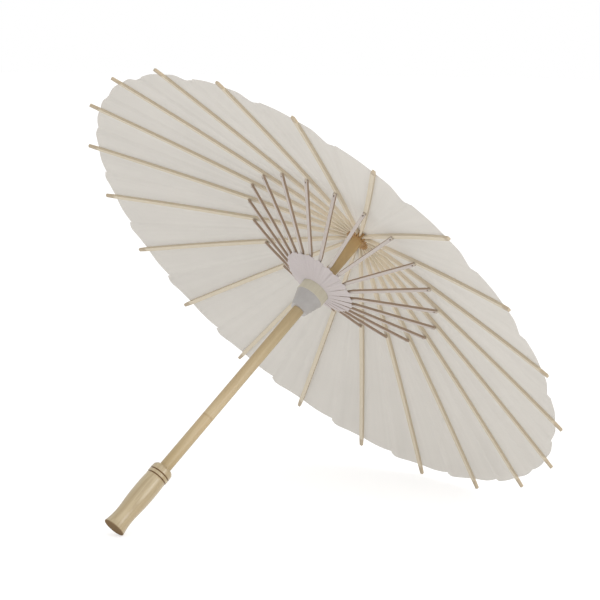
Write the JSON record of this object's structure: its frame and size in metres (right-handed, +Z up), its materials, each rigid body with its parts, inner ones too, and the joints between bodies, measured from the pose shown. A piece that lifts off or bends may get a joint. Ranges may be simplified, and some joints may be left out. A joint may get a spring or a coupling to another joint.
{
  "type": "oil paper umbrella",
  "caption": "Open paper umbrella lying on the floor: a shallow ribbed paper canopy with a sliding runner, folding bamboo ribs and stretchers, and a turned wooden handle.",
  "frame": {"origin": "on the floor, under the middle of the open umbrella's bounding box, with the umbrella lying on its handle end and two neighbouring rib tips", "axes": "+Z up from the floor; +X horizontal, from the handle towards the head; +Y across the canopy, along its width. The shaft lies in the plane Y = 0 and rises 41.59 degrees from the floor towards +X"},
  "size_m": [0.447, 0.5992, 0.4481],
  "materials": {
    "shaft_wood": "clear gloss varnish",
    "handle_wood": "clear gloss varnish",
    "head_wood": "satin",
    "bamboo": "bare split bamboo, matte",
    "stretcher_bamboo": "bare split bamboo with darker cut edges, matte",
    "pale_wood": "satin",
    "runner_plastic": "satin",
    "paper": "oiled white paper, matte",
    "rosette_paper": "white pleated paper, matte",
    "thread": "waxed cotton",
    "wire": "drawn",
    "spring_metal": "rolled"
  },
  "bodies": {
    "frame": {"shaft": "shaft_wood", "handle": "handle_wood", "head": "head_wood", "rib_wire": "wire", "top_cap": "paper", "cap_thread": "thread", "finial": "handle_wood", "stop_peg": "bamboo", "catch_pin": "wire", "canopy": "paper"},
    "runner": {"runner_cone": "runner_plastic", "runner_ring": "pale_wood", "runner_notch": "pale_wood", "rosette": "rosette_paper"},
    "catch": {"catch_spring": "spring_metal"},
    "rib_01": {"rib_01": "bamboo"},
    "stretcher_01": {"stretcher_01": "stretcher_bamboo"},
    "rib_02": {"rib_02": "bamboo"},
    "stretcher_02": {"stretcher_02": "stretcher_bamboo"},
    "rib_03": {"rib_03": "bamboo"},
    "stretcher_03": {"stretcher_03": "stretcher_bamboo"},
    "rib_04": {"rib_04": "bamboo"},
    "stretcher_04": {"stretcher_04": "stretcher_bamboo"},
    "rib_05": {"rib_05": "bamboo"},
    "stretcher_05": {"stretcher_05": "stretcher_bamboo"},
    "rib_06": {"rib_06": "bamboo"},
    "stretcher_06": {"stretcher_06": "stretcher_bamboo"},
    "rib_07": {"rib_07": "bamboo"},
    "stretcher_07": {"stretcher_07": "stretcher_bamboo"},
    "rib_08": {"rib_08": "bamboo"},
    "stretcher_08": {"stretcher_08": "stretcher_bamboo"},
    "rib_09": {"rib_09": "bamboo"},
    "stretcher_09": {"stretcher_09": "stretcher_bamboo"},
    "rib_10": {"rib_10": "bamboo"},
    "stretcher_10": {"stretcher_10": "stretcher_bamboo"},
    "rib_11": {"rib_11": "bamboo"},
    "stretcher_11": {"stretcher_11": "stretcher_bamboo"},
    "rib_12": {"rib_12": "bamboo"},
    "stretcher_12": {"stretcher_12": "stretcher_bamboo"},
    "rib_13": {"rib_13": "bamboo"},
    "stretcher_13": {"stretcher_13": "stretcher_bamboo"},
    "rib_14": {"rib_14": "bamboo"},
    "stretcher_14": {"stretcher_14": "stretcher_bamboo"},
    "rib_15": {"rib_15": "bamboo"},
    "stretcher_15": {"stretcher_15": "stretcher_bamboo"},
    "rib_16": {"rib_16": "bamboo"},
    "stretcher_16": {"stretcher_16": "stretcher_bamboo"},
    "rib_17": {"rib_17": "bamboo"},
    "stretcher_17": {"stretcher_17": "stretcher_bamboo"},
    "rib_18": {"rib_18": "bamboo"},
    "stretcher_18": {"stretcher_18": "stretcher_bamboo"},
    "rib_19": {"rib_19": "bamboo"},
    "stretcher_19": {"stretcher_19": "stretcher_bamboo"},
    "rib_20": {"rib_20": "bamboo"},
    "stretcher_20": {"stretcher_20": "stretcher_bamboo"},
    "rib_21": {"rib_21": "bamboo"},
    "stretcher_21": {"stretcher_21": "stretcher_bamboo"}
  },
  "joints": [
    {"name": "runner_slide", "type": "slide", "parent": "frame", "child": "runner", "axis": [-0.7479, 0, -0.6639], "range_m": [0, 0.15124], "deforming": ["canopy", "rosette"]},
    {"name": "catch_press", "type": "hinge", "parent": "frame", "child": "catch", "pos_m": [-0.02011, 0.0026, 0.18033], "axis": [0.5749, -0.5, -0.6477], "range_deg": [0, 3.4], "stiffness_Nm_per_rad": 0.05},
    {"name": "rib_01_hinge", "type": "hinge", "parent": "frame", "child": "rib_01", "pos_m": [0.09082, 0.00164, 0.26626], "axis": [-0.0989, 0.9888, 0.1115], "range_deg": [0, 71.9]},
    {"name": "stretcher_01_hinge", "type": "hinge", "parent": "rib_01", "child": "stretcher_01", "pos_m": [0.13937, 0.01789, 0.16518], "axis": [0.0989, -0.9888, -0.1115], "range_deg": [0, 141.15]},
    {"name": "rib_02_hinge", "type": "hinge", "parent": "frame", "child": "rib_02", "pos_m": [0.09018, 0.00477, 0.26698], "axis": [-0.288, 0.901, 0.3245], "range_deg": [0, 71.9]},
    {"name": "stretcher_02_hinge", "type": "hinge", "parent": "rib_02", "child": "stretcher_02", "pos_m": [0.13237, 0.05209, 0.17307], "axis": [0.288, -0.901, -0.3245], "range_deg": [0, 141.15]},
    {"name": "rib_03_hinge", "type": "hinge", "parent": "frame", "child": "rib_03", "pos_m": [0.08895, 0.00748, 0.26836], "axis": [-0.4515, 0.7331, 0.5087], "range_deg": [0, 71.9]},
    {"name": "stretcher_03_hinge", "type": "hinge", "parent": "rib_03", "child": "stretcher_03", "pos_m": [0.11899, 0.08165, 0.18814], "axis": [0.4515, -0.7331, -0.5087], "range_deg": [0, 141.15]},
    {"name": "rib_04_hinge", "type": "hinge", "parent": "frame", "child": "rib_04", "pos_m": [0.08725, 0.00953, 0.27028], "axis": [-0.5749, 0.5, 0.6477], "range_deg": [0, 71.9]},
    {"name": "stretcher_04_hinge", "type": "hinge", "parent": "rib_04", "child": "stretcher_04", "pos_m": [0.10042, 0.10396, 0.20907], "axis": [0.5749, -0.5, -0.6477], "range_deg": [0, 141.15]},
    {"name": "rib_05_hinge", "type": "hinge", "parent": "frame", "child": "rib_05", "pos_m": [0.08522, 0.01072, 0.27256], "axis": [-0.6472, 0.2225, 0.7291], "range_deg": [0, 71.9]},
    {"name": "stretcher_05_hinge", "type": "hinge", "parent": "rib_05", "child": "stretcher_05", "pos_m": [0.07831, 0.11703, 0.23398], "axis": [0.6472, -0.2225, -0.7291], "range_deg": [0, 141.15]},
    {"name": "rib_06_hinge", "type": "hinge", "parent": "frame", "child": "rib_06", "pos_m": [0.08305, 0.01097, 0.27501], "axis": [-0.662, -0.0747, 0.7458], "range_deg": [0, 71.9]},
    {"name": "stretcher_06_hinge", "type": "hinge", "parent": "rib_06", "child": "stretcher_06", "pos_m": [0.05462, 0.11971, 0.26066], "axis": [0.662, 0.0747, -0.7458], "range_deg": [0, 141.15]},
    {"name": "rib_07_hinge", "type": "hinge", "parent": "frame", "child": "rib_07", "pos_m": [0.08093, 0.01024, 0.2774], "axis": [-0.618, -0.3653, 0.6962], "range_deg": [0, 71.9]},
    {"name": "stretcher_07_hinge", "type": "hinge", "parent": "rib_07", "child": "stretcher_07", "pos_m": [0.03146, 0.11175, 0.28675], "axis": [0.618, 0.3653, -0.6962], "range_deg": [0, 141.15]},
    {"name": "rib_08_hinge", "type": "hinge", "parent": "frame", "child": "rib_08", "pos_m": [0.07905, 0.0086, 0.27952], "axis": [-0.519, -0.6235, 0.5847], "range_deg": [0, 71.9]},
    {"name": "stretcher_08_hinge", "type": "hinge", "parent": "rib_08", "child": "stretcher_08", "pos_m": [0.01089, 0.09385, 0.30993], "axis": [0.519, 0.6235, -0.5847], "range_deg": [0, 141.15]},
    {"name": "rib_09_hinge", "type": "hinge", "parent": "frame", "child": "rib_09", "pos_m": [0.07757, 0.0062, 0.28119], "axis": [-0.374, -0.8262, 0.4213], "range_deg": [0, 71.9]},
    {"name": "stretcher_09_hinge", "type": "hinge", "parent": "rib_09", "child": "stretcher_09", "pos_m": [-0.00527, 0.06762, 0.32813], "axis": [0.374, 0.8262, -0.4213], "range_deg": [0, 141.15]},
    {"name": "rib_10_hinge", "type": "hinge", "parent": "frame", "child": "rib_10", "pos_m": [0.07662, 0.00324, 0.28226], "axis": [-0.1957, -0.9556, 0.2204], "range_deg": [0, 71.9]},
    {"name": "stretcher_10_hinge", "type": "hinge", "parent": "rib_10", "child": "stretcher_10", "pos_m": [-0.01558, 0.03538, 0.33974], "axis": [0.1957, 0.9556, -0.2204], "range_deg": [0, 141.15]},
    {"name": "rib_11_hinge", "type": "hinge", "parent": "frame", "child": "rib_11", "pos_m": [0.0763, 0, 0.28262], "axis": [0, -1, 0], "range_deg": [0, 71.9]},
    {"name": "stretcher_11_hinge", "type": "hinge", "parent": "rib_11", "child": "stretcher_11", "pos_m": [-0.01912, 0, 0.34373], "axis": [0, 1, 0], "range_deg": [0, 141.15]},
    {"name": "rib_12_hinge", "type": "hinge", "parent": "frame", "child": "rib_12", "pos_m": [0.07662, -0.00324, 0.28226], "axis": [0.1957, -0.9556, -0.2204], "range_deg": [0, 71.9]},
    {"name": "stretcher_12_hinge", "type": "hinge", "parent": "rib_12", "child": "stretcher_12", "pos_m": [-0.01558, -0.03538, 0.33974], "axis": [-0.1957, 0.9556, 0.2204], "range_deg": [0, 141.15]},
    {"name": "rib_13_hinge", "type": "hinge", "parent": "frame", "child": "rib_13", "pos_m": [0.07757, -0.0062, 0.28119], "axis": [0.374, -0.8262, -0.4213], "range_deg": [0, 71.9]},
    {"name": "stretcher_13_hinge", "type": "hinge", "parent": "rib_13", "child": "stretcher_13", "pos_m": [-0.00527, -0.06762, 0.32813], "axis": [-0.374, 0.8262, 0.4213], "range_deg": [0, 141.15]},
    {"name": "rib_14_hinge", "type": "hinge", "parent": "frame", "child": "rib_14", "pos_m": [0.07905, -0.0086, 0.27952], "axis": [0.519, -0.6235, -0.5847], "range_deg": [0, 71.9]},
    {"name": "stretcher_14_hinge", "type": "hinge", "parent": "rib_14", "child": "stretcher_14", "pos_m": [0.01089, -0.09385, 0.30993], "axis": [-0.519, 0.6235, 0.5847], "range_deg": [0, 141.15]},
    {"name": "rib_15_hinge", "type": "hinge", "parent": "frame", "child": "rib_15", "pos_m": [0.08093, -0.01024, 0.2774], "axis": [0.618, -0.3653, -0.6962], "range_deg": [0, 71.9]},
    {"name": "stretcher_15_hinge", "type": "hinge", "parent": "rib_15", "child": "stretcher_15", "pos_m": [0.03146, -0.11175, 0.28675], "axis": [-0.618, 0.3653, 0.6962], "range_deg": [0, 141.15]},
    {"name": "rib_16_hinge", "type": "hinge", "parent": "frame", "child": "rib_16", "pos_m": [0.08305, -0.01097, 0.27501], "axis": [0.662, -0.0747, -0.7458], "range_deg": [0, 71.9]},
    {"name": "stretcher_16_hinge", "type": "hinge", "parent": "rib_16", "child": "stretcher_16", "pos_m": [0.05462, -0.11971, 0.26066], "axis": [-0.662, 0.0747, 0.7458], "range_deg": [0, 141.15]},
    {"name": "rib_17_hinge", "type": "hinge", "parent": "frame", "child": "rib_17", "pos_m": [0.08522, -0.01072, 0.27256], "axis": [0.6472, 0.2225, -0.7291], "range_deg": [0, 71.9]},
    {"name": "stretcher_17_hinge", "type": "hinge", "parent": "rib_17", "child": "stretcher_17", "pos_m": [0.07831, -0.11703, 0.23398], "axis": [-0.6472, -0.2225, 0.7291], "range_deg": [0, 141.15]},
    {"name": "rib_18_hinge", "type": "hinge", "parent": "frame", "child": "rib_18", "pos_m": [0.08725, -0.00953, 0.27028], "axis": [0.5749, 0.5, -0.6477], "range_deg": [0, 71.9]},
    {"name": "stretcher_18_hinge", "type": "hinge", "parent": "rib_18", "child": "stretcher_18", "pos_m": [0.10042, -0.10396, 0.20907], "axis": [-0.5749, -0.5, 0.6477], "range_deg": [0, 141.15]},
    {"name": "rib_19_hinge", "type": "hinge", "parent": "frame", "child": "rib_19", "pos_m": [0.08895, -0.00748, 0.26836], "axis": [0.4515, 0.7331, -0.5087], "range_deg": [0, 71.9]},
    {"name": "stretcher_19_hinge", "type": "hinge", "parent": "rib_19", "child": "stretcher_19", "pos_m": [0.11899, -0.08165, 0.18814], "axis": [-0.4515, -0.7331, 0.5087], "range_deg": [0, 141.15]},
    {"name": "rib_20_hinge", "type": "hinge", "parent": "frame", "child": "rib_20", "pos_m": [0.09018, -0.00477, 0.26698], "axis": [0.288, 0.901, -0.3245], "range_deg": [0, 71.9]},
    {"name": "stretcher_20_hinge", "type": "hinge", "parent": "rib_20", "child": "stretcher_20", "pos_m": [0.13237, -0.05209, 0.17307], "axis": [-0.288, -0.901, 0.3245], "range_deg": [0, 141.15]},
    {"name": "rib_21_hinge", "type": "hinge", "parent": "frame", "child": "rib_21", "pos_m": [0.09082, -0.00164, 0.26626], "axis": [0.0989, 0.9888, -0.1115], "range_deg": [0, 71.9]},
    {"name": "stretcher_21_hinge", "type": "hinge", "parent": "rib_21", "child": "stretcher_21", "pos_m": [0.13937, -0.01789, 0.16518], "axis": [-0.0989, -0.9888, 0.1115], "range_deg": [0, 141.15]}
  ],
  "couplings": [
    {"joint": "rib_01_hinge", "follows": "runner_slide", "rad_per_m": 8.2969},
    {"joint": "stretcher_01_hinge", "follows": "runner_slide", "rad_per_m": 16.288},
    {"joint": "rib_02_hinge", "follows": "runner_slide", "rad_per_m": 8.2969},
    {"joint": "stretcher_02_hinge", "follows": "runner_slide", "rad_per_m": 16.288},
    {"joint": "rib_03_hinge", "follows": "runner_slide", "rad_per_m": 8.2969},
    {"joint": "stretcher_03_hinge", "follows": "runner_slide", "rad_per_m": 16.288},
    {"joint": "rib_04_hinge", "follows": "runner_slide", "rad_per_m": 8.2969},
    {"joint": "stretcher_04_hinge", "follows": "runner_slide", "rad_per_m": 16.288},
    {"joint": "rib_05_hinge", "follows": "runner_slide", "rad_per_m": 8.2969},
    {"joint": "stretcher_05_hinge", "follows": "runner_slide", "rad_per_m": 16.288},
    {"joint": "rib_06_hinge", "follows": "runner_slide", "rad_per_m": 8.2969},
    {"joint": "stretcher_06_hinge", "follows": "runner_slide", "rad_per_m": 16.288},
    {"joint": "rib_07_hinge", "follows": "runner_slide", "rad_per_m": 8.2969},
    {"joint": "stretcher_07_hinge", "follows": "runner_slide", "rad_per_m": 16.288},
    {"joint": "rib_08_hinge", "follows": "runner_slide", "rad_per_m": 8.2969},
    {"joint": "stretcher_08_hinge", "follows": "runner_slide", "rad_per_m": 16.288},
    {"joint": "rib_09_hinge", "follows": "runner_slide", "rad_per_m": 8.2969},
    {"joint": "stretcher_09_hinge", "follows": "runner_slide", "rad_per_m": 16.288},
    {"joint": "rib_10_hinge", "follows": "runner_slide", "rad_per_m": 8.2969},
    {"joint": "stretcher_10_hinge", "follows": "runner_slide", "rad_per_m": 16.288},
    {"joint": "rib_11_hinge", "follows": "runner_slide", "rad_per_m": 8.2969},
    {"joint": "stretcher_11_hinge", "follows": "runner_slide", "rad_per_m": 16.288},
    {"joint": "rib_12_hinge", "follows": "runner_slide", "rad_per_m": 8.2969},
    {"joint": "stretcher_12_hinge", "follows": "runner_slide", "rad_per_m": 16.288},
    {"joint": "rib_13_hinge", "follows": "runner_slide", "rad_per_m": 8.2969},
    {"joint": "stretcher_13_hinge", "follows": "runner_slide", "rad_per_m": 16.288},
    {"joint": "rib_14_hinge", "follows": "runner_slide", "rad_per_m": 8.2969},
    {"joint": "stretcher_14_hinge", "follows": "runner_slide", "rad_per_m": 16.288},
    {"joint": "rib_15_hinge", "follows": "runner_slide", "rad_per_m": 8.2969},
    {"joint": "stretcher_15_hinge", "follows": "runner_slide", "rad_per_m": 16.288},
    {"joint": "rib_16_hinge", "follows": "runner_slide", "rad_per_m": 8.2969},
    {"joint": "stretcher_16_hinge", "follows": "runner_slide", "rad_per_m": 16.288},
    {"joint": "rib_17_hinge", "follows": "runner_slide", "rad_per_m": 8.2969},
    {"joint": "stretcher_17_hinge", "follows": "runner_slide", "rad_per_m": 16.288},
    {"joint": "rib_18_hinge", "follows": "runner_slide", "rad_per_m": 8.2969},
    {"joint": "stretcher_18_hinge", "follows": "runner_slide", "rad_per_m": 16.288},
    {"joint": "rib_19_hinge", "follows": "runner_slide", "rad_per_m": 8.2969},
    {"joint": "stretcher_19_hinge", "follows": "runner_slide", "rad_per_m": 16.288},
    {"joint": "rib_20_hinge", "follows": "runner_slide", "rad_per_m": 8.2969},
    {"joint": "stretcher_20_hinge", "follows": "runner_slide", "rad_per_m": 16.288},
    {"joint": "rib_21_hinge", "follows": "runner_slide", "rad_per_m": 8.2969},
    {"joint": "stretcher_21_hinge", "follows": "runner_slide", "rad_per_m": 16.288}
  ]
}
